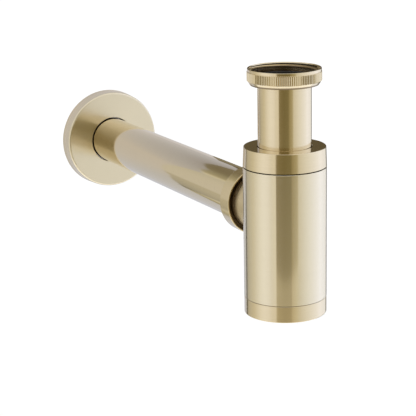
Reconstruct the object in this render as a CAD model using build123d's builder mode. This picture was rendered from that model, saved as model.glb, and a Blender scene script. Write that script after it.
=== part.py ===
# Bottle trap for a wash basin: a knurled inlet nut, a sliding dip tube, a bottle with
# screwed top and bottom caps, and a horizontal outlet tube with a wall flange.
# Millimetres. +Z is up, +Y points to the wall. The origin is the centre of the inlet
# washer's top face, where the basin waste seals.
import math
import os

from build123d import *

# Clearances
braze_gap = 0.05        # capillary gap round a brazed-in ring
running_gap = 0.06      # rubber on a tube, radial
loose_gap = 0.35        # hole round a tube, radial
seat_gap = 0.3          # rubber or ring in its seat
ring_gap = 0.1          # flat faces that turn on each other
thread_clearance = 0.2  # crest to root, radial

# Stock
tube_radius = 16.0
tube_wall = 1.0
thread_depth = 0.8
edge_break = 0.15        # chamfer on a sharp turned edge

# Inlet nut
inlet_thread_reach = 4.955   # tube surface to thread root, a G 1 1/4 thread on a 32 mm tube
nut_wall = 1.145             # thread root to knurl crest
nut_floor = 1.3
nut_mouth_height = 5.0       # sealing face to the nut's top
nut_mouth_chamfer = 0.5
thread_runout = 0.35         # step below the inlet thread, radial
lip_height = 1.6
lip_setback = 0.22
lip_groove_width = 0.4
nut_chamfer_height = 2.6
nut_chamfer_width = 1.8
knurl_depth = 0.35
knurl_count = 112
knurl_crest_share = 0.3      # flat part of each knurl pitch

# Inlet tube, washer and slip ring
collar_width = 2.9
collar_thickness = 1.0
washer_thickness = 1.5
washer_width = 3.2
inlet_ring_thickness = 0.7
exposed_inlet = 36.9         # tube seen between nut and top cap
dip_clearance = 18.7         # tube's lower end above the bottom cap's floor

# Bottle
water_gap = 7.8              # clear ring between dip tube and bottle wall
bottle_wall = 1.2
outlet_shoulder = 2.95       # bottle wall between neck ring and outlet boss
sump_depth = 33.45           # outlet boss down to the bottle's lower edge

# Neck ring, top seal and top cap
neck_spigot = 8.0
neck_thread_length = 7.5
neck_rim = 1.4
neck_guide_gap = 0.5
neck_cone_depth = 5.5
top_seal_proud = 0.6
top_ring_thickness = 1.1
cap_height = 12.4
cap_wall = 2.4
cap_plate = 2.6
cap_taper = 0.4
cap_edge_radius = 0.4
cap_groove = 0.6             # dark line between cap and bottle

# Outlet boss, seal, ring and nut
boss_wall = 1.3
boss_thread_step = 1.45
boss_thread_recess = 3.2
boss_stop_step = 1.35        # inner stop that keeps the tube out of the bottle
boss_cone_depth = 3.5
boss_cone_rim = 0.6
outlet_seal_proud = 0.9
outlet_ring_thickness = 0.8
nut_standoff = 7.6           # bottle to the outlet nut's front face
outlet_nut_length = 10.5
outlet_nut_wall = 0.9
outlet_nut_plate = 1.2
outlet_nut_edge = 0.35
tube_insertion = 5.5
tube_end_room = 3.8

# Outlet tube and wall flange
exposed_outlet = 206.4       # tube seen between outlet nut and wall flange
tube_behind_wall = 25.2
spigot_length = 20.0
spigot_setback = 0.2
spigot_chamfer = 0.4
flange_width = 18.55         # flange hole to rim
flange_hole_gap = 0.65
flange_depth = 10.5
flange_flare = 0.6           # rim's back edge beyond its front edge
flange_wall = 1.2
flange_edge_radius = 1.5
hub_wall = 1.6
hub_length = 6.0
grip_section = 1.15          # radius of the rubber ring's section
grip_setback = 1.6           # plate front to the groove

# Base ring and bottom cap
base_ring_height = 10.7
base_ring_wall = 1.75
oring_pocket_depth = 2.1
oring_pocket_step = 1.0
oring_fit = 0.15
seam_gap = 0.25
bottom_cap_height = 10.3
bottom_cap_setback = 0.08
bottom_edge_radius = 0.5
bottom_floor = 3.0
spigot_height = 9.7
spigot_wall = 2.5
cup_corner_radius = 2.0

# Radii that follow from the sizes above
tube_bore = tube_radius - tube_wall
tube_hole = tube_radius + loose_gap
rubber_bore = tube_radius + running_gap
thread_gap = thread_depth + thread_clearance
collar_radius = tube_radius + collar_width
inlet_thread_radius = tube_radius + inlet_thread_reach
knurl_radius = inlet_thread_radius + nut_wall
knurl_root = knurl_radius - knurl_depth
lip_radius = knurl_radius - lip_setback
bottle_inside = tube_radius + water_gap
bottle_radius = bottle_inside + bottle_wall
cap_thread_radius = bottle_radius - cap_wall
neck_thread_root = cap_thread_radius - thread_gap
neck_mouth = neck_thread_root - neck_rim
neck_bore = tube_radius + neck_guide_gap
boss_neck_radius = tube_hole + boss_wall
boss_thread_root = boss_neck_radius + boss_thread_step
outlet_thread_radius = boss_thread_root + thread_gap
outlet_nut_radius = outlet_thread_radius + outlet_nut_wall
flange_hole = tube_radius + flange_hole_gap
flange_radius = flange_hole + flange_width
brazed_radius = bottle_inside - braze_gap
base_thread_radius = brazed_radius - base_ring_wall
spigot_root = base_thread_radius - thread_gap
cup_radius = spigot_root - spigot_wall

# Levels down the inlet axis
collar_top_z = -washer_thickness
collar_z = collar_top_z - collar_thickness
inlet_ring_top_z = collar_z - ring_gap
inlet_ring_z = inlet_ring_top_z - inlet_ring_thickness
nut_floor_z = inlet_ring_z - ring_gap
nut_bottom_z = nut_floor_z - nut_floor
nut_top_z = nut_mouth_height
lip_z = nut_top_z - lip_height
knurl_top_z = lip_z - lip_groove_width
knurl_bottom_z = nut_bottom_z + nut_chamfer_height
cap_top_z = nut_bottom_z - exposed_inlet
bottle_top_z = cap_top_z - cap_height
outlet_z = bottle_top_z - neck_spigot - outlet_shoulder - boss_neck_radius
bottle_bottom_z = outlet_z - boss_neck_radius - sump_depth
cap_bottom_z = bottle_bottom_z - bottom_cap_height
cup_floor_z = cap_bottom_z + bottom_floor
dip_z = cup_floor_z + dip_clearance

# Stations along the outlet axis, from the bottle's axis to the wall
nut_front_y = bottle_radius + nut_standoff
nut_back_y = nut_front_y + outlet_nut_length
nut_plate_y = nut_back_y - outlet_nut_plate
outlet_ring_top_y = nut_plate_y - ring_gap
outlet_ring_y = outlet_ring_top_y - outlet_ring_thickness
outlet_seal_top_y = outlet_ring_y - ring_gap
boss_end_y = outlet_seal_top_y - outlet_seal_proud
boss_cone_y = boss_end_y - boss_cone_depth
boss_thread_y = nut_front_y + boss_thread_recess
tube_start_y = boss_cone_y - tube_insertion
boss_stop_y = tube_start_y - tube_end_room
flange_front_y = nut_back_y + exposed_outlet
flange_back_y = flange_front_y + flange_depth
tube_end_y = flange_back_y + tube_behind_wall
spigot_y = tube_end_y - spigot_length

# Profiles of the outlet's turned pieces: first value across the axis, second along it
outlet_plane = Plane(origin=(0, 0, outlet_z), x_dir=(0, 0, 1), z_dir=(-1, 0, 0))
outlet_axis = Axis((0, 0, outlet_z), (0, 1, 0))

os.makedirs("parts", exist_ok=True)


def knurl_points():
    """Outline of the straight knurl: a flat crest and a sharp root in every pitch."""
    pitch = 2 * math.pi / knurl_count
    half_crest = pitch * knurl_crest_share / 2
    points = []
    for tooth in range(knurl_count):
        middle = tooth * pitch
        for angle, radius in (
            (middle - half_crest, knurl_radius),
            (middle + half_crest, knurl_radius),
            (middle + pitch / 2, knurl_root),
        ):
            points.append((radius * math.cos(angle), radius * math.sin(angle)))
    return points


def save(piece, name):
    piece.part.label = name
    export_step(piece.part, f"parts/{name}.step")


# Inlet nut: turned brass, threaded mouth, straight knurl, loose on the tube under its collar
with BuildPart() as inlet_nut:
    with BuildSketch(Plane.XZ):
        with BuildLine():
            Polyline(
                (tube_hole, nut_bottom_z),
                (knurl_radius - nut_chamfer_width, nut_bottom_z),
                (knurl_root, knurl_bottom_z - knurl_depth),
                (knurl_root, lip_z - lip_groove_width / 2),
                (lip_radius, lip_z),
                (lip_radius, nut_top_z - edge_break),
                (lip_radius - edge_break, nut_top_z),
                (inlet_thread_radius + nut_mouth_chamfer, nut_top_z),
                (inlet_thread_radius, nut_top_z - nut_mouth_chamfer),
                (inlet_thread_radius, 0),
                (inlet_thread_radius - thread_runout, 0),
                (inlet_thread_radius - thread_runout, collar_top_z),
                (collar_radius + seat_gap, collar_top_z),
                (collar_radius + seat_gap, nut_floor_z),
                (tube_hole, nut_floor_z),
                close=True,
            )
        make_face()
    revolve(axis=Axis.Z)
    with BuildSketch(Plane.XY.offset(knurl_bottom_z - knurl_depth)):
        with BuildLine():
            Polyline(*knurl_points(), close=True)
        make_face()
        Circle((inlet_thread_radius + knurl_root) / 2, mode=Mode.SUBTRACT)
    extrude(amount=knurl_top_z - knurl_bottom_z + knurl_depth)
    with BuildSketch(Plane.XZ):
        with BuildLine():
            Polyline(
                (knurl_root, knurl_bottom_z - knurl_depth),
                (knurl_radius + knurl_depth, knurl_bottom_z - knurl_depth),
                (knurl_radius + knurl_depth, knurl_bottom_z + knurl_depth),
                close=True,
            )
        make_face()
    revolve(axis=Axis.Z, mode=Mode.SUBTRACT)
save(inlet_nut, "inlet_nut")

# Inlet slip ring: nylon washer that lets the nut turn under the tube's collar
with BuildPart() as inlet_slip_ring:
    with BuildSketch(Plane.XY.offset(inlet_ring_z)):
        Circle(collar_radius)
        Circle(tube_hole, mode=Mode.SUBTRACT)
    extrude(amount=inlet_ring_thickness)
save(inlet_slip_ring, "inlet_slip_ring")

# Inlet washer: flat rubber ring on the collar, pressed against the basin waste
with BuildPart() as inlet_washer:
    with BuildSketch(Plane.XY.offset(collar_top_z)):
        Circle(collar_radius)
        Circle(collar_radius - washer_width, mode=Mode.SUBTRACT)
    extrude(amount=washer_thickness)
save(inlet_washer, "inlet_washer")

# Inlet tube: drawn tube with a rolled collar; its lower end dips into the bottle's water
with BuildPart() as inlet_tube:
    with BuildSketch(Plane.XZ):
        with BuildLine():
            Polyline(
                (tube_bore, dip_z),
                (tube_radius, dip_z),
                (tube_radius, collar_z),
                (collar_radius, collar_z),
                (collar_radius, collar_top_z),
                (tube_bore, collar_top_z),
                close=True,
            )
        make_face()
    revolve(axis=Axis.Z)
save(inlet_tube, "inlet_tube")

# Top cap: turned brass nut that closes the bottle round the tube and squeezes the top seal
cap_rim_z = bottle_top_z + cap_groove
cap_plate_z = cap_top_z - cap_plate
top_ring_z = cap_plate_z - ring_gap - top_ring_thickness
with BuildPart() as top_cap:
    with BuildSketch(Plane.XZ):
        with BuildLine():
            Polyline(
                (cap_thread_radius, cap_rim_z),
                (bottle_radius, cap_rim_z),
                (bottle_radius - cap_taper, cap_top_z),
                (tube_hole, cap_top_z),
                (tube_hole, cap_plate_z),
                (neck_thread_root, cap_plate_z),
                (neck_thread_root, top_ring_z),
                (cap_thread_radius, top_ring_z),
                close=True,
            )
        make_face()
    revolve(axis=Axis.Z)
    top_edges = top_cap.edges().filter_by(GeomType.CIRCLE).group_by(Axis.Z)[-1]
    fillet(top_edges.sort_by(SortBy.RADIUS)[-1], cap_edge_radius)
    levels = top_cap.edges().filter_by(GeomType.CIRCLE).group_by(Axis.Z)
    cap_rim = levels[0].sort_by(SortBy.RADIUS)[-1]
    cap_hole = levels[-1].sort_by(SortBy.RADIUS)[0]
    chamfer([cap_rim, cap_hole], edge_break)
save(top_cap, "top_cap")

# Top slip ring: nylon ring between the cap and the seal
with BuildPart() as top_slip_ring:
    with BuildSketch(Plane.XY.offset(top_ring_z)):
        Circle(neck_thread_root - seat_gap)
        Circle(tube_hole, mode=Mode.SUBTRACT)
    extrude(amount=top_ring_thickness)
save(top_slip_ring, "top_slip_ring")

# Neck ring: turned brass ring brazed into the bottle's top, threaded for the cap
neck_top_z = bottle_top_z + neck_thread_length
neck_cone_z = neck_top_z - neck_cone_depth
with BuildPart() as neck_ring:
    with BuildSketch(Plane.XZ):
        with BuildLine():
            Polyline(
                (neck_bore, bottle_top_z - neck_spigot),
                (brazed_radius, bottle_top_z - neck_spigot),
                (brazed_radius, bottle_top_z),
                (neck_thread_root, bottle_top_z),
                (neck_thread_root, neck_top_z),
                (neck_mouth, neck_top_z),
                (neck_bore, neck_cone_z),
                close=True,
            )
        make_face()
    revolve(axis=Axis.Z)
save(neck_ring, "neck_ring")

# Top seal: rubber wedge ring in the neck's cone, gripping the tube
with BuildPart() as top_seal:
    with BuildSketch(Plane.XZ):
        with BuildLine():
            Polyline(
                (rubber_bore, neck_cone_z + seat_gap),
                (neck_bore, neck_cone_z + seat_gap),
                (neck_mouth, neck_top_z + seat_gap),
                (neck_mouth, neck_top_z + top_seal_proud),
                (rubber_bore, neck_top_z + top_seal_proud),
                close=True,
            )
        make_face()
    revolve(axis=Axis.Z)
save(top_seal, "top_seal")

# Bottle body: drawn brass tube with a round hole for the outlet boss
with BuildPart() as bottle_body:
    with BuildSketch(Plane.XY.offset(bottle_bottom_z)):
        Circle(bottle_radius)
        Circle(bottle_inside, mode=Mode.SUBTRACT)
    extrude(amount=bottle_top_z - bottle_bottom_z)
    with BuildSketch(Plane.XZ):
        with Locations((0, outlet_z)):
            Circle(boss_neck_radius + braze_gap)
    extrude(amount=-bottle_radius, mode=Mode.SUBTRACT)
    outer_ends = bottle_body.edges().filter_by(GeomType.CIRCLE).group_by(SortBy.RADIUS)[-1]
    chamfer(outer_ends, edge_break)
save(bottle_body, "bottle_body")

# Outlet boss: turned brass spigot brazed into the bottle's side, coped to its inside wall
with BuildPart() as outlet_boss:
    with BuildSketch(outlet_plane):
        with BuildLine():
            Polyline(
                (tube_hole - boss_stop_step, 0),
                (boss_neck_radius, 0),
                (boss_neck_radius, boss_thread_y),
                (boss_thread_root, boss_thread_y),
                (boss_thread_root, boss_end_y),
                (boss_thread_root - boss_cone_rim, boss_end_y),
                (tube_hole, boss_cone_y),
                (tube_hole, boss_stop_y),
                (tube_hole - boss_stop_step, boss_stop_y),
                close=True,
            )
        make_face()
    revolve(axis=outlet_axis)
    with BuildSketch(Plane.XY.offset(bottle_bottom_z)):
        Circle(bottle_inside)
    extrude(amount=bottle_top_z - bottle_bottom_z, mode=Mode.SUBTRACT)
save(outlet_boss, "outlet_boss")

# Outlet seal: small rubber wedge ring in the boss's cone, round the outlet tube
with BuildPart() as outlet_seal:
    with BuildSketch(outlet_plane):
        with BuildLine():
            Polyline(
                (rubber_bore, boss_cone_y + seat_gap),
                (tube_hole, boss_cone_y + seat_gap),
                (boss_thread_root - boss_cone_rim, boss_end_y + seat_gap),
                (boss_thread_root - boss_cone_rim, outlet_seal_top_y),
                (rubber_bore, outlet_seal_top_y),
                close=True,
            )
        make_face()
    revolve(axis=outlet_axis)
save(outlet_seal, "outlet_seal")

# Outlet slip ring: nylon ring between the outlet nut and its seal
with BuildPart() as outlet_slip_ring:
    with BuildSketch(outlet_plane):
        with BuildLine():
            Polyline(
                (tube_hole, outlet_ring_y),
                (outlet_thread_radius - seat_gap, outlet_ring_y),
                (outlet_thread_radius - seat_gap, outlet_ring_top_y),
                (tube_hole, outlet_ring_top_y),
                close=True,
            )
        make_face()
    revolve(axis=outlet_axis)
save(outlet_slip_ring, "outlet_slip_ring")

# Outlet nut: plain turned brass ring nut with a back plate round the tube
with BuildPart() as outlet_nut:
    with BuildSketch(outlet_plane):
        with BuildLine():
            Polyline(
                (outlet_thread_radius, nut_front_y),
                (outlet_nut_radius, nut_front_y),
                (outlet_nut_radius, nut_back_y),
                (tube_hole, nut_back_y),
                (tube_hole, nut_plate_y),
                (outlet_thread_radius, nut_plate_y),
                close=True,
            )
        make_face()
    revolve(axis=outlet_axis)
    outer_edges = outlet_nut.edges().filter_by(GeomType.CIRCLE).group_by(SortBy.RADIUS)[-1]
    fillet(outer_edges, outlet_nut_edge)
    stations = outlet_nut.edges().filter_by(GeomType.CIRCLE).group_by(Axis.Y)
    nut_mouth = stations[0].sort_by(SortBy.RADIUS)[0]
    nut_hole = stations[-1].sort_by(SortBy.RADIUS)[0]
    chamfer([nut_mouth, nut_hole], edge_break)
save(outlet_nut, "outlet_nut")

# Outlet tube: drawn tube from the boss through the flange, its far end sized for the drain
with BuildPart() as outlet_tube:
    with BuildSketch(outlet_plane):
        with BuildLine():
            Polyline(
                (tube_bore, tube_start_y),
                (tube_radius, tube_start_y),
                (tube_radius, spigot_y - spigot_setback),
                (tube_radius - spigot_setback, spigot_y),
                (tube_radius - spigot_setback, tube_end_y - spigot_chamfer),
                (tube_radius - spigot_setback - spigot_chamfer, tube_end_y),
                (tube_bore, tube_end_y),
                close=True,
            )
        make_face()
    revolve(axis=outlet_axis)
save(outlet_tube, "outlet_tube")

# Wall flange: hollow brass dish with a grooved hub, covering the hole in the wall
groove_front_y = flange_front_y + grip_setback
groove_back_y = groove_front_y + 2 * (grip_section + ring_gap)
groove_radius = rubber_bore + 2 * grip_section + ring_gap
hub_radius = groove_radius + hub_wall
with BuildPart() as wall_flange:
    with BuildSketch(outlet_plane):
        with BuildLine():
            Polyline(
                (flange_hole, flange_front_y),
                (flange_radius, flange_front_y),
                (flange_radius + flange_flare, flange_back_y),
                (flange_radius + flange_flare - flange_wall, flange_back_y),
                (flange_radius - flange_wall, flange_front_y + flange_wall),
                (hub_radius, flange_front_y + flange_wall),
                (hub_radius, flange_front_y + hub_length),
                (flange_hole, flange_front_y + hub_length),
                (flange_hole, groove_back_y),
                (groove_radius, groove_back_y),
                (groove_radius, groove_front_y),
                (flange_hole, groove_front_y),
                close=True,
            )
        make_face()
    revolve(axis=outlet_axis)
    front_edges = wall_flange.edges().filter_by(GeomType.CIRCLE).group_by(Axis.Y)[0]
    fillet(front_edges.sort_by(SortBy.RADIUS)[-1], flange_edge_radius)
    front_edges = wall_flange.edges().filter_by(GeomType.CIRCLE).group_by(Axis.Y)[0]
    chamfer(front_edges.sort_by(SortBy.RADIUS)[0], edge_break)
save(wall_flange, "wall_flange")

# Flange grip ring: rubber ring in the hub's groove that holds the flange on the tube
with BuildPart() as flange_grip_ring:
    with BuildSketch(outlet_plane):
        with Locations((rubber_bore + grip_section, (groove_front_y + groove_back_y) / 2)):
            Circle(grip_section)
    revolve(axis=outlet_axis)
save(flange_grip_ring, "flange_grip_ring")

# Base ring: turned brass ring brazed into the bottle's lower end, threaded for the bottom cap
pocket_radius = base_thread_radius + oring_pocket_step
pocket_roof_z = bottle_bottom_z + oring_pocket_depth
with BuildPart() as base_ring:
    with BuildSketch(Plane.XZ):
        with BuildLine():
            Polyline(
                (pocket_radius, bottle_bottom_z),
                (brazed_radius, bottle_bottom_z),
                (brazed_radius, bottle_bottom_z + base_ring_height),
                (base_thread_radius, bottle_bottom_z + base_ring_height),
                (base_thread_radius, pocket_roof_z),
                (pocket_radius, pocket_roof_z),
                close=True,
            )
        make_face()
    revolve(axis=Axis.Z)
save(base_ring, "base_ring")

# Bottom cap: turned brass cup that unscrews for cleaning
cap_shoulder_z = bottle_bottom_z - seam_gap
with BuildPart() as bottom_cap:
    with BuildSketch(Plane.XZ):
        with BuildLine():
            Polyline(
                (0, cap_bottom_z),
                (bottle_radius - bottom_cap_setback, cap_bottom_z),
                (bottle_radius - bottom_cap_setback, cap_shoulder_z),
                (spigot_root, cap_shoulder_z),
                (spigot_root, cap_shoulder_z + spigot_height),
                (cup_radius, cap_shoulder_z + spigot_height),
                (cup_radius, cup_floor_z),
                (0, cup_floor_z),
                close=True,
            )
        make_face()
    revolve(axis=Axis.Z)
    circles = bottom_cap.edges().filter_by(GeomType.CIRCLE)
    fillet(circles.group_by(Axis.Z)[0], bottom_edge_radius)
    cup_corner = circles.filter_by_position(Axis.Z, cup_floor_z, cup_floor_z)
    fillet(cup_corner, cup_corner_radius)
    shoulder = bottom_cap.edges().filter_by(GeomType.CIRCLE)
    shoulder = shoulder.filter_by_position(Axis.Z, cap_shoulder_z, cap_shoulder_z)
    chamfer(shoulder.sort_by(SortBy.RADIUS)[-1], edge_break)
save(bottom_cap, "bottom_cap")

# Bottom O-ring: rubber ring between the bottom cap's shoulder and the base ring
with BuildPart() as bottom_oring:
    with BuildSketch(Plane.XZ):
        with Locations(((spigot_root + pocket_radius) / 2, (cap_shoulder_z + pocket_roof_z) / 2)):
            Circle((pocket_radius - spigot_root) / 2 - oring_fit)
    revolve(axis=Axis.Z)
save(bottom_oring, "bottom_oring")
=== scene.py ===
import math

import bmesh
import bpy
from mathutils import Matrix, Vector


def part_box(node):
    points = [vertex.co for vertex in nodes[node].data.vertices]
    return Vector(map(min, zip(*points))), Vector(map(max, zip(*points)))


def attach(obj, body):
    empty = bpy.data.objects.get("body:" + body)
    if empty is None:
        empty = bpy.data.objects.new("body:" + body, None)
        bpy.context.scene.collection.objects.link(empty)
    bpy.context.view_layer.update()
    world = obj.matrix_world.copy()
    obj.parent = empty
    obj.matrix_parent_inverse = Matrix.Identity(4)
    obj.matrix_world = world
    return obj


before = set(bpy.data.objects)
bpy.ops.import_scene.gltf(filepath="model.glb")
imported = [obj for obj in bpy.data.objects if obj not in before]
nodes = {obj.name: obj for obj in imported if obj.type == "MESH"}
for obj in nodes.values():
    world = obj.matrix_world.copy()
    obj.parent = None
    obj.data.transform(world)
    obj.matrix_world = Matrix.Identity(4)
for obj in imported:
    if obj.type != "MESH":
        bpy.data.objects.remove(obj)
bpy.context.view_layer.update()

# Bottle body: a drawn brass tube that holds the water seal. It is brushed round its axis and
# covered with a satin lacquer, which makes it paler than the turned caps at its two ends.
outlet_low, outlet_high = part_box("outlet_tube")
outlet_level = (outlet_low.z + outlet_high.z) / 2
bottle_low, bottle_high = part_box("bottle_body")


def add(tree, kind, inputs=None, **options):
    """Adds a node and gives each named input a value or another node's output."""
    made = tree.nodes.new(kind)
    for option, value in options.items():
        setattr(made, option, value)
    for socket, value in (inputs or {}).items():
        if isinstance(value, bpy.types.NodeSocket):
            tree.links.new(value, made.inputs[socket])
        else:
            made.inputs[socket].default_value = value
    return made


def math_of(tree, operation, first, second=0.0, third=0.0):
    return add(tree, "ShaderNodeMath", {0: first, 1: second, 2: third}, operation=operation).outputs[0]


def remap(tree, value, start, end, low=0.0, high=1.0, way="LINEAR"):
    """Runs from the low to the high value while the given value goes from start to end."""
    return add(tree, "ShaderNodeMapRange", {
        "Value": value, "From Min": start, "From Max": end, "To Min": low, "To Max": high,
    }, interpolation_type=way).outputs[0]


def make_turning_marks():
    """Lines round the Z axis of the vector, as a brush or a turning tool leaves them."""
    group = bpy.data.node_groups.new("turning_marks", "ShaderNodeTree")
    for name, kind in (
        ("Vector", "NodeSocketVector"),
        ("Lines per Metre", "NodeSocketFloat"),
        ("Breaks", "NodeSocketFloat"),
    ):
        group.interface.new_socket(name, in_out="INPUT", socket_type=kind)
    for name in ("Line", "Band", "Radius", "Along"):
        group.interface.new_socket(name, in_out="OUTPUT", socket_type="NodeSocketFloat")
    given = group.nodes.new("NodeGroupInput")
    place = add(group, "ShaderNodeSeparateXYZ", {0: given.outputs["Vector"]})
    across = math_of(group, "POWER", place.outputs["X"], 2.0)
    along = math_of(group, "POWER", place.outputs["Y"], 2.0)
    radius = math_of(group, "SQRT", math_of(group, "ADD", across, along))
    radius = math_of(group, "MAXIMUM", radius, 1e-5)
    east = math_of(group, "DIVIDE", place.outputs["X"], radius)
    north = math_of(group, "DIVIDE", place.outputs["Y"], radius)
    lines = given.outputs["Lines per Metre"]
    breaks = given.outputs["Breaks"]
    fine = add(group, "ShaderNodeCombineXYZ", {
        "X": math_of(group, "MULTIPLY", east, breaks),
        "Y": math_of(group, "MULTIPLY", north, breaks),
        "Z": math_of(group, "MULTIPLY", place.outputs["Z"], lines),
    })
    line = add(group, "ShaderNodeTexNoise", {
        "Vector": fine.outputs[0],
        "W": math_of(group, "MULTIPLY", radius, lines),
        "Scale": 1.0, "Detail": 2.0, "Roughness": 0.6,
    }, noise_dimensions="4D")
    wide = add(group, "ShaderNodeVectorMath", {0: fine.outputs[0], 1: (0.25, 0.25, 0.2)},
               operation="MULTIPLY")
    band = add(group, "ShaderNodeTexNoise", {
        "Vector": wide.outputs[0],
        "W": math_of(group, "MULTIPLY", radius, math_of(group, "MULTIPLY", lines, 0.2)),
        "Scale": 1.0, "Detail": 3.0, "Roughness": 0.55,
    }, noise_dimensions="4D")
    put_out = group.nodes.new("NodeGroupOutput")
    group.links.new(line.outputs[0], put_out.inputs["Line"])
    group.links.new(band.outputs[0], put_out.inputs["Band"])
    group.links.new(radius, put_out.inputs["Radius"])
    group.links.new(place.outputs["Z"], put_out.inputs["Along"])
    return group


turning_marks = make_turning_marks()


def brass(name, axis, tone, shade, roughness, grain, anisotropy, coat=(0.0, 0.1, 1.5),
          lines=5200, breaks=2.5, depth=2e-7, painted_shade=None):
    """Brass with marks round the bottle's axis (Z) or the outlet's axis (Y), or straight up and
    down (X). The shade darkens the tone between the marks; the coat is its weight, roughness
    and index. Inside the painted-shade radius, and between two places along the axis, the colour
    is darkened toward dark brown as painted shade for hollows and hidden parts, and the metal
    is made duller."""
    material = bpy.data.materials.new(name)
    material.use_nodes = True
    tree = material.node_tree
    shader = tree.nodes["Principled BSDF"]
    place = add(tree, "ShaderNodeTexCoord").outputs["Object"]
    if axis == "Y":
        place = add(tree, "ShaderNodeMapping", {
            "Vector": place, "Location": (0, outlet_level, 0), "Rotation": (math.pi / 2, 0, 0),
        }).outputs[0]
    if axis == "X":
        place = add(tree, "ShaderNodeMapping", {
            "Vector": place, "Rotation": (0, -math.pi / 2, 0), "Scale": (1, 0, 0)}).outputs[0]
    marks = add(tree, "ShaderNodeGroup", node_tree=turning_marks)
    tree.links.new(place, marks.inputs["Vector"])
    marks.inputs["Lines per Metre"].default_value = lines
    marks.inputs["Breaks"].default_value = breaks
    wide_marks = math_of(tree, "MULTIPLY", marks.outputs["Band"], 0.4)
    mixed = math_of(tree, "MULTIPLY_ADD", marks.outputs["Line"], 0.6, wide_marks)
    ramp = add(tree, "ShaderNodeValToRGB", {"Fac": mixed})
    ramp.color_ramp.elements[0].position = 0.34
    ramp.color_ramp.elements[0].color = (*(part * shade for part in tone), 1)
    ramp.color_ramp.elements[1].position = 0.62
    ramp.color_ramp.elements[1].color = (*tone, 1)
    colour = ramp.outputs[0]
    rough = remap(tree, mixed, 0.3, 0.7, roughness + grain, roughness - grain)
    # Painted shade: inside the radius and between the two places, the colour is multiplied toward dark
    # brown to stand for the shade in hollows. The roughness is raised there too.
    if painted_shade:
        radius, start, end = painted_shade
        soft_edge, soft_end = 0.0002, 0.0003
        painted_shade_tone, added_roughness = (0.22, 0.17, 0.11, 1), 0.25
        dark = remap(tree, marks.outputs["Radius"], radius, radius - soft_edge)
        for edge, side in ((start, soft_end), (end, -soft_end)):
            dark = math_of(tree, "MULTIPLY", dark, remap(tree, marks.outputs["Along"], edge, edge + side))
        patchy = remap(tree, marks.outputs["Band"], 0.3, 0.7, 1.0, 0.85)
        dark = math_of(tree, "MULTIPLY", dark, patchy)
        colour = add(tree, "ShaderNodeMixRGB", {"Fac": dark, "Color1": colour, "Color2": painted_shade_tone},
                     blend_type="MULTIPLY").outputs[0]
        rough = math_of(tree, "MULTIPLY_ADD", dark, added_roughness, rough)
    tree.links.new(colour, shader.inputs["Base Color"])
    tree.links.new(rough, shader.inputs["Roughness"])
    bump = add(tree, "ShaderNodeBump", {
        "Strength": 0.35, "Distance": depth, "Height": marks.outputs["Line"]})
    tree.links.new(bump.outputs[0], shader.inputs["Normal"])
    tangent = add(tree, "ShaderNodeTangent", direction_type="RADIAL", axis=axis)
    tree.links.new(tangent.outputs[0], shader.inputs["Tangent"])
    shader.inputs["Metallic"].default_value = 1.0
    shader.inputs["Anisotropic"].default_value = anisotropy
    shader.inputs["Anisotropic Rotation"].default_value = 0.25
    shader.inputs["Coat Weight"].default_value = coat[0]
    shader.inputs["Coat Roughness"].default_value = coat[1]
    shader.inputs["Coat IOR"].default_value = coat[2]
    return material


def dress(node, material):
    """Gives one of the part's own solids its material."""
    nodes[node].data.materials.clear()
    nodes[node].data.materials.append(material)


dress("bottle_body", brass(
    "satin_brass_body", "Z", tone=(0.75, 0.66, 0.475), shade=0.96, roughness=0.07, grain=0.01,
    anisotropy=0.2, coat=(1.0, 0.45, 1.85)))

# Neck ring, base ring and outlet boss: turned brass, brazed into the bottle's two ends and
# its side. Their threads are cut at 1.5 mm pitch and show when a cap is off. A thin fillet of
# solder runs round the foot of the boss.
thread_pitch = 0.0015
thread_depth = 0.0008
thread_clear = 0.0004
neck_root = 0.0216
boss_root = 0.0191
boss_neck = 0.01765
base_wall = 0.0220
oring_pocket = 0.0021
boss_thread_length = 0.0042
fillet_size = 0.0006
fillet_root = 0.0003
fillet_steps = 160
neck_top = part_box("neck_ring")[1].z
base_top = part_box("base_ring")[1].z
boss_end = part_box("outlet_boss")[1].y
boss_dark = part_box("outlet_nut")[0].y + 0.0003

turned_look = dict(tone=(0.72, 0.58, 0.34), shade=0.86, roughness=0.29, grain=0.05,
                   anisotropy=0.4, lines=2600, breaks=1.2, depth=4e-6)
# Painted shade: the neck ring and base ring, hidden under the caps, are darkened all over with their
# threads, and the boss is darkened where it runs inside the outlet nut.
turned_upright = brass("turned_brass_upright", "Z", **turned_look, painted_shade=(1, -1, 1))
turned_outlet = brass("turned_brass_outlet", "Y", **{**turned_look, "tone": (0.76, 0.65, 0.45)},
                      painted_shade=(1, boss_dark, 1))
dress("neck_ring", turned_upright)
dress("base_ring", turned_upright)
dress("outlet_boss", turned_outlet)


def solid(name, sections, closed, material, body):
    """Joins the sections, rings of points in order, into one closed piece on a body."""
    mesh = bmesh.new()
    rings = [[mesh.verts.new(spot) for spot in section] for section in sections]
    pairs = list(zip(rings, rings[1:] + rings[:1])) if closed else list(zip(rings, rings[1:]))
    for one, two in pairs:
        for k in range(len(one)):
            after = (k + 1) % len(one)
            mesh.faces.new((one[k], one[after], two[after], two[k]))
    if not closed:
        mesh.faces.new(rings[0])
        mesh.faces.new(reversed(rings[-1]))
    bmesh.ops.recalc_face_normals(mesh, faces=mesh.faces)
    data = bpy.data.meshes.new(name)
    mesh.to_mesh(data)
    mesh.free()
    data.materials.append(material)
    piece = bpy.data.objects.new(name, data)
    bpy.context.scene.collection.objects.link(piece)
    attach(piece, body)
    return piece


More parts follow.
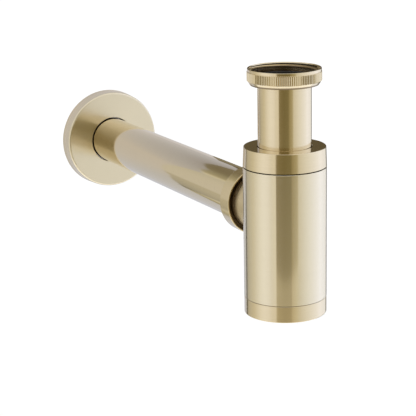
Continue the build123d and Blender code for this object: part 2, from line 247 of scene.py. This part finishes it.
def thread(wall, depth, pitch, start, end, helix, level=None):
    """Sections of a right-hand ridge on a round wall: outwards, or inwards if the depth is
    negative. It passes the helix height at angle zero and lies along Z, or along Y at a level."""
    steps, run_out, sunk = 72, 20, 0.00004
    first = math.ceil((start - helix) / pitch * steps)
    last = math.floor((end - helix) / pitch * steps)
    root = wall - math.copysign(sunk, depth)
    sections = []
    for step in range(first, last + 1):
        angle = 2 * math.pi * step / steps
        height = helix + pitch * step / steps
        grown = min(1.0, 0.05 + (step - first) / run_out, 0.05 + (last - step) / run_out)
        foot, crest, tip = 0.36 * pitch * grown, 0.09 * pitch * grown, wall + depth * grown
        section = []
        for radius, offset in ((root, -foot), (tip, -crest), (tip, crest), (root, foot)):
            east, north = radius * math.cos(angle), radius * math.sin(angle)
            if level is None:
                section.append((east, north, height + offset))
            else:
                section.append((north, height + offset, level + east))
        sections.append(section)
    return sections


neck_helix = bottle_high.z
base_helix = bottle_low.z
boss_helix = boss_end - boss_thread_length
solid("neck_thread", thread(
    neck_root, thread_depth, thread_pitch, bottle_high.z + thread_clear,
    neck_top - thread_clear, neck_helix), False, turned_upright, "bottle")
solid("base_ring_thread", thread(
    base_wall, -thread_depth, thread_pitch, bottle_low.z + oring_pocket + thread_clear,
    base_top - thread_clear, base_helix + thread_pitch / 2),
    False, turned_upright, "bottle")
solid("boss_thread", thread(
    boss_root, thread_depth, thread_pitch, boss_helix + thread_clear,
    boss_end - thread_clear, boss_helix, outlet_level),
    False, turned_outlet, "bottle")



def saddle(radius, angle):
    """A point on the bottle's round wall, at a radius from the outlet's axis."""
    side = radius * math.cos(angle)
    return Vector((side, math.sqrt(bottle_high.x ** 2 - side ** 2),
                   outlet_level + radius * math.sin(angle)))


fillet_sections = []
for step in range(fillet_steps):
    angle = 2 * math.pi * step / fillet_steps
    corner, foot = saddle(boss_neck, angle), saddle(boss_neck + fillet_size, angle)
    head = corner + Vector((0, fillet_size, 0))
    curve = [(1 - t) ** 2 * head + 2 * t * (1 - t) * corner + t ** 2 * foot
             for t in (0, 0.2, 0.4, 0.6, 0.8, 1)]
    inner = saddle(boss_neck - fillet_root, angle) - Vector((0, fillet_root, 0))
    fillet_sections.append(curve + [inner])
solid("boss_fillet", fillet_sections, True, turned_outlet, "bottle")

# Seals and slip rings: moulded black rubber where the joints must hold water, and white nylon
# rings that let a nut turn without dragging the rubber. All are loose and replaceable.


def moulded(name, tone, roughness, fleck):
    """A moulded plastic or rubber with a faint grain and a slightly uneven sheen."""
    material = bpy.data.materials.new(name)
    material.use_nodes = True
    tree = material.node_tree
    shader = tree.nodes["Principled BSDF"]
    place = add(tree, "ShaderNodeTexCoord").outputs["Object"]
    grain = add(tree, "ShaderNodeTexNoise", {
        "Vector": place, "Scale": 1800.0, "Detail": 3.0, "Roughness": 0.6})
    cloud = add(tree, "ShaderNodeTexNoise", {
        "Vector": place, "Scale": 160.0, "Detail": 2.0, "Roughness": 0.5})
    clouds = math_of(tree, "MULTIPLY", cloud.outputs[0], 0.5)
    mixed = math_of(tree, "MULTIPLY_ADD", grain.outputs[0], 0.5, clouds)
    ramp = add(tree, "ShaderNodeValToRGB", {"Fac": mixed})
    ramp.color_ramp.elements[0].position = 0.35
    ramp.color_ramp.elements[0].color = (*(part * (1 - fleck) for part in tone), 1)
    ramp.color_ramp.elements[1].position = 0.65
    ramp.color_ramp.elements[1].color = (*tone, 1)
    tree.links.new(ramp.outputs[0], shader.inputs["Base Color"])
    rough = remap(tree, mixed, 0.3, 0.7, roughness - 0.06, roughness + 0.06)
    tree.links.new(rough, shader.inputs["Roughness"])
    bump = add(tree, "ShaderNodeBump", {
        "Strength": 0.3, "Distance": 2e-5, "Height": grain.outputs[0]})
    tree.links.new(bump.outputs[0], shader.inputs["Normal"])
    return material


rubber = moulded("black_rubber", (0.028, 0.028, 0.030), 0.58, 0.35)
nylon = moulded("white_nylon", (0.83, 0.82, 0.77), 0.42, 0.06)
for ring in ("top_seal", "outlet_seal"):
    dress(ring, rubber)
for ring in ("top_slip_ring", "outlet_slip_ring", "inlet_slip_ring"):
    dress(ring, nylon)

# Top cap: turned from brass bar and brushed, it screws onto the neck and squeezes the top seal
# round the inlet tube. Its thread runs between the turns of the neck's thread.
cap_wall = 0.0226
cap_thread_roof = 0.0080
cap_plate = 0.0026
cap_low, cap_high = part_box("top_cap")
brushed_look = dict(tone=(0.75, 0.64, 0.44), shade=0.95, roughness=0.14, grain=0.02,
                    anisotropy=0.4, coat=(0.5, 0.1, 1.5))
# Painted shade: the inside of the cap and its thread, below the top plate, are darkened.
brushed_cap = brass("brushed_brass_cap", "Z", **brushed_look,
                    painted_shade=(cap_wall + 0.0006, -1, cap_high.z - cap_plate + 0.0001))
dress("top_cap", brushed_cap)
solid("top_cap_thread", thread(
    cap_wall, -thread_depth, thread_pitch, cap_low.z + thread_clear,
    cap_low.z + cap_thread_roof - thread_clear, neck_helix + thread_pitch / 2),
    False, brushed_cap, "top_cap")

# Inlet tube and washer: a drawn brass tube with a collar at its top, brushed like the caps. The
# collar carries the flat rubber washer that seals against the basin's waste.
dress("inlet_tube", brass("brushed_brass_tube", "Z", **brushed_look))
dress("inlet_washer", rubber)

# Inlet nut: turned brass with a straight knurl for the fingers. Its pipe thread of 2.309 mm
# pitch takes the basin's waste.
inlet_wall = 0.020955
inlet_thread_depth = 0.001479
inlet_pitch = 0.002309
inlet_thread_top = 0.0045
inlet_thread_clear = 0.00015
inlet_dark_top = 0.0034
# Painted shade: the nut's bore and thread are darkened up to 3.4 mm from its lower end.
brushed_nut = brass("brushed_brass_nut", "Z", **brushed_look,
                    painted_shade=(inlet_wall + 0.0001, -1, inlet_dark_top))
dress("inlet_nut", brushed_nut)
solid("inlet_nut_thread", thread(
    inlet_wall, -inlet_thread_depth, inlet_pitch, inlet_thread_clear,
    inlet_thread_top - inlet_thread_clear, 0.0), False, brushed_nut, "inlet_nut")

# Outlet nut and outlet tube: a brass tube polished like a mirror, which slides to meet the wall,
# and a plain turned ring, a little duller, which screws onto the boss and presses the outlet
# seal round the tube.
nut_wall = 0.0201
nut_mouth = 0.0016
nut_thread_length = 0.0079
nut_plate = 0.0012
nut_low, nut_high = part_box("outlet_nut")
polished_look = dict(tone=(0.76, 0.66, 0.46), shade=0.97, roughness=0.07, grain=0.01,
                     anisotropy=0.2, coat=(0.5, 0.06, 1.5), lines=4000, breaks=2.0, depth=5e-8)
nut_look = {**polished_look, "tone": (0.75, 0.64, 0.42), "roughness": 0.16}
# Painted shade: the nut's bore and thread, inside it up to its end plate, are darkened.
polished_nut = brass("polished_brass_nut", "Y", **nut_look,
                     painted_shade=(nut_wall + 0.0002, nut_low.y - 1, nut_high.y - nut_plate))
dress("outlet_tube", brass("polished_brass_tube", "Y", **polished_look))
dress("outlet_nut", polished_nut)
solid("outlet_nut_thread", thread(
    nut_wall, -thread_depth, thread_pitch, nut_low.y + nut_mouth, nut_low.y + nut_thread_length,
    boss_helix + thread_pitch / 2, outlet_level),
    False, polished_nut, "outlet_nut")

# Wall flange and grip ring: a spun brass dish brushed straight up and down, which hides the hole
# in the wall. A rubber ring inside it grips the tube and holds the flange where it is pushed.
brushed_flange = brass(
    "brushed_brass_flange", "X", tone=(0.80, 0.715, 0.535), shade=0.95, roughness=0.25, grain=0.02,
    anisotropy=1.0, coat=(0.5, 0.1, 1.5))
dress("wall_flange", brushed_flange)
dress("flange_grip_ring", rubber)

# Bottom cap and O-ring: the turned cup that collects dirt and unscrews for cleaning. The rubber
# ring lies round the foot of its spigot.
spigot_root = 0.0210
spigot_start = 0.0028
spigot_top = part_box("bottom_cap")[1].z
# Painted shade: the spigot and its thread are darkened where they stand inside the bottle.
brushed_base = brass("brushed_brass_base", "Z", **brushed_look,
                     painted_shade=(spigot_root + 0.0012, bottle_low.z - 0.0003, 1))
dress("bottom_cap", brushed_base)
dress("bottom_oring", rubber)
solid("bottom_cap_thread", thread(
    spigot_root, thread_depth, thread_pitch, bottle_low.z + spigot_start,
    spigot_top - thread_clear, base_helix), False, brushed_base, "bottom_cap")

# Camera, as fitted to the photograph: 862.5 mm from the centre of the groove under the top cap,
# turned and rolled a little off that centre.
groove = Vector((0, 0, bottle_high.z))
azimuth, elevation = math.radians(-30.85), math.radians(13.09)
distance = 0.86252
aim_azimuth, aim_elevation = azimuth + math.radians(3.14), elevation + math.radians(1.62)
roll = math.radians(-1.04)
focal_pixels, frame_pixels, sensor = 1449.61, 416, 36


def direction(turn, rise):
    return Vector((math.sin(turn) * math.cos(rise), -math.cos(turn) * math.cos(rise), math.sin(rise)))


back = direction(aim_azimuth, aim_elevation)
right = Vector((math.cos(aim_azimuth), math.sin(aim_azimuth), 0))
up = back.cross(right)
rolled_right = math.cos(roll) * right + math.sin(roll) * up
rolled_up = math.cos(roll) * up - math.sin(roll) * right
camera_data = bpy.data.cameras.new("camera")
camera_data.sensor_width = sensor
camera_data.lens = sensor * focal_pixels / frame_pixels
camera_data.clip_start = 0.01
camera_data.clip_end = 100
camera = bpy.data.objects.new("camera", camera_data)
stand = Matrix.Translation(groove + distance * direction(azimuth, elevation))
camera.matrix_world = stand @ Matrix((rolled_right, rolled_up, back)).transposed().to_4x4()
bpy.context.scene.collection.objects.link(camera)
bpy.context.scene.camera = camera

# Studio: a pale floor, a ring of panels round the object and a pale card behind the wall
# flange. The camera sees only the floor; the metal reflects the rest, which is white at the
# sides, brown in front and dark high up at the back.
to_camera = Vector((math.sin(azimuth), -math.cos(azimuth), 0))
to_right = Vector((math.cos(azimuth), math.sin(azimuth), 0))
ring_radius, ring_low, ring_high = 1.2, -1.1, 1.3
floor_level = -1.1
card_right, card_high, card_place = 0.112, 0.045, 0.282
card_side = ((0.045, -0.045), (0.012, -0.094), (-0.12, -0.097), (-0.17, -0.074), (-0.5, -0.06))


def stage_piece(name, sections, seen):
    """Joins rows of points into a sheet of the studio with a bare material; returns both."""
    mesh = bmesh.new()
    rows = [[mesh.verts.new(spot) for spot in section] for section in sections]
    for one, two in zip(rows, rows[1:]):
        for k in range(len(one) - 1):
            mesh.faces.new((one[k], one[k + 1], two[k + 1], two[k]))
    data = bpy.data.meshes.new(name)
    mesh.to_mesh(data)
    mesh.free()
    piece = bpy.data.objects.new(name, data)
    bpy.context.scene.collection.objects.link(piece)
    piece.visible_camera = seen
    paint = bpy.data.materials.new(name)
    paint.use_nodes = True
    paint.node_tree.nodes.remove(paint.node_tree.nodes["Principled BSDF"])
    data.materials.append(paint)
    return piece, paint.node_tree


def tone_ramp(tree, value, low, high, stops):
    """Colours that follow a value, given at stops between the two ends."""
    share = add(tree, "ShaderNodeMapRange", {"Value": value, "From Min": low, "From Max": high})
    ramp = add(tree, "ShaderNodeValToRGB", {"Fac": share.outputs[0]})
    while len(ramp.color_ramp.elements) < len(stops):
        ramp.color_ramp.elements.new(1.0)
    for stop, (spot, tone) in zip(ramp.color_ramp.elements, stops):
        stop.position = (spot - low) / (high - low)
        stop.color = (*tone, 1)
    return ramp.outputs[0]


def give_light(tree, colour):
    glow = add(tree, "ShaderNodeEmission", {"Color": colour, "Strength": 1.0})
    tree.links.new(glow.outputs[0], tree.nodes["Material Output"].inputs["Surface"])


def blend(tree, share, first, second, way="MIX"):
    """Mixes the second colour into the first one, or adds it, by a share."""
    made = add(tree, "ShaderNodeMix", {"Factor": share}, data_type="RGBA", blend_type=way)
    for socket, colour in ((made.inputs[6], first), (made.inputs[7], second)):
        if isinstance(colour, bpy.types.NodeSocket):
            tree.links.new(colour, socket)
        else:
            socket.default_value = (*colour, 1)
    return made.outputs[2]


def fade(tree, value, start, end):
    return remap(tree, value, start, end, way="SMOOTHSTEP")


def seen_directly(tree):
    """One on a ray from the camera, or from a mirror or glass, and nothing on a ray that lights."""
    rays = add(tree, "ShaderNodeLightPath").outputs
    seen = math_of(tree, "ADD", rays["Is Camera Ray"], rays["Is Glossy Ray"])
    return math_of(tree, "ADD", seen, rays["Is Transmission Ray"])


ring_sides = 96
corners = [2 * math.pi * k / ring_sides for k in range(ring_sides + 1)]
panels, tree = stage_piece("studio_panels", [
    [(ring_radius * math.cos(corner), ring_radius * math.sin(corner), level) for corner in corners]
    for level in (ring_low, ring_high)], False)
spot = add(tree, "ShaderNodeTexCoord").outputs["Object"]
ahead = add(tree, "ShaderNodeVectorMath", {0: spot, 1: to_camera}, operation="DOT_PRODUCT").outputs["Value"]
aside = add(tree, "ShaderNodeVectorMath", {0: spot, 1: to_right}, operation="DOT_PRODUCT").outputs["Value"]
height = add(tree, "ShaderNodeSeparateXYZ", {0: spot}).outputs["Z"]
turn = math_of(tree, "MULTIPLY", math_of(tree, "ARCTAN2", aside, ahead), math.degrees(1))

# Tones round the ring, in degrees from the camera: white at the sides, a brown screen in front.
tones = tone_ramp(tree, turn, -180, 180, (
    (-180, (0.11, 0.09, 0.06)), (-131.5, (0.11, 0.10, 0.07)), (-129.5, (0.42, 0.40, 0.34)),
    (-122, (0.56, 0.53, 0.44)), (-96, (0.75, 0.71, 0.58)), (-72, (0.97, 0.96, 0.93)),
    (-60, (1.02, 1.02, 1.02)), (-46, (0.98, 0.97, 0.96)), (-37, (0.89, 0.87, 0.81)),
    (-25, (0.90, 0.86, 0.76)), (-22.5, (0.28, 0.23, 0.12)), (-2, (0.22, 0.18, 0.08)),
    (17, (0.25, 0.21, 0.10)), (19.5, (0.37, 0.31, 0.16)), (34, (0.52, 0.47, 0.30)),
    (37.5, (0.78, 0.75, 0.65)), (60, (0.93, 0.94, 0.94)), (113, (1.17, 1.24, 1.48)),
    (148, (0.98, 1.0, 1.05)), (157, (0.30, 0.28, 0.25)), (164, (0.12, 0.10, 0.07)),
))

# The screen in front grows paler downwards and ends in a shallow bowl, with the pale floor below.
screen_lift = tone_ramp(tree, turn, -180, 180, (
    (-25, (0, 0, 0)), (-22.5, (0.29, 0.28, 0.23)), (17, (0.28, 0.26, 0.22)),
    (19.5, (0.31, 0.30, 0.28)), (34, (0.26, 0.27, 0.29)), (37.5, (0, 0, 0)),
))
off_centre = math_of(tree, "POWER", math_of(tree, "ABSOLUTE", math_of(tree, "ADD", aside, -0.03)), 2.0)
bowl = math_of(tree, "MULTIPLY_ADD", off_centre, -0.051, height)
below_screen = fade(tree, bowl, -0.4875, -0.4915)
down_screen = remap(tree, height, -0.25, -0.475, 0.0, 0.29)
tones = blend(tree, math_of(tree, "MAXIMUM", below_screen, down_screen), tones, screen_lift, "ADD")

# The dark gap at the back left is filled with light in its upper part and near the floor.
gap_lift = tone_ramp(tree, turn, -180, 180, (
    (-144, (0.16, 0.14, 0.09)), (-138, (0.24, 0.22, 0.15)), (-130.5, (0.36, 0.33, 0.23)),
    (-127, (0.16, 0.16, 0.16)), (-118, (0.10, 0.10, 0.14)), (-100, (0, 0, 0)),
))
upper_part, near_floor = fade(tree, height, -0.26, -0.18), fade(tree, height, -0.56, -0.60)
tones = blend(tree, math_of(tree, "MAXIMUM", upper_part, near_floor), tones, gap_lift, "ADD")

# High up it is dark behind the object and bright over the screen's right half.
behind = fade(tree, math_of(tree, "ABSOLUTE", turn), 140, 152)
dark_back = tone_ramp(tree, height, 0, 1, ((0.3, (0.12, 0.095, 0.05)), (0.45, (0.24, 0.205, 0.135))))
tones = blend(tree, math_of(tree, "MULTIPLY", behind, fade(tree, height, 0.06, 0.16)), tones, dark_back)
over_screen = fade(tree, math_of(tree, "ABSOLUTE", math_of(tree, "ADD", turn, -40)), 24, 16)
tones = blend(tree, math_of(tree, "MULTIPLY", over_screen, fade(tree, height, 0.24, 0.34)), tones,
              (0.95, 0.93, 0.88))
give_light(tree, tones)

card, tree = stage_piece("studio_card", [
    [(side, card_place, level), (card_right, card_place, level)] for level, side in card_side], False)
spot = add(tree, "ShaderNodeTexCoord").outputs["Object"]
give_light(tree, tone_ramp(
    tree, add(tree, "ShaderNodeSeparateXYZ", {0: spot}).outputs["Z"], -0.3, card_high, (
        (-0.3, (0.66, 0.67, 0.74)), (-0.146, (0.62, 0.63, 0.69)), (-0.1, (0.67, 0.65, 0.665)),
        (-0.045, (0.67, 0.64, 0.64)), (-0.018, (0.59, 0.58, 0.615)), (0.02, (0.51, 0.51, 0.56)),
        (0.042, (0.45, 0.44, 0.48)))))

floor_size, floor_tone, floor_glow = 15, 0.92, 0.6
floor, tree = stage_piece("studio_floor", [
    [(side, depth, floor_level) for side in (-floor_size, floor_size)]
    for depth in (-floor_size, floor_size)], True)
pale = add(tree, "ShaderNodeBsdfDiffuse", {"Color": (floor_tone, floor_tone, floor_tone, 1)})
glow = add(tree, "ShaderNodeEmission", {
    "Color": (1, 1, 1, 1), "Strength": math_of(tree, "MULTIPLY", seen_directly(tree), floor_glow)})
both = add(tree, "ShaderNodeAddShader", {0: pale.outputs[0], 1: glow.outputs[0]})
tree.links.new(both.outputs[0], tree.nodes["Material Output"].inputs["Surface"])

sky_light, sky_seen = 0.5, 1.0
world = bpy.data.worlds.new("studio")
world.use_nodes = True
tree = world.node_tree
sky = tree.nodes["Background"]
sky.inputs["Color"].default_value = (1, 1, 1, 1)
tree.links.new(remap(tree, seen_directly(tree), 0.0, 1.0, sky_light, sky_seen), sky.inputs["Strength"])
bpy.context.scene.world = world
bpy.context.scene.view_settings.view_transform = "Standard"
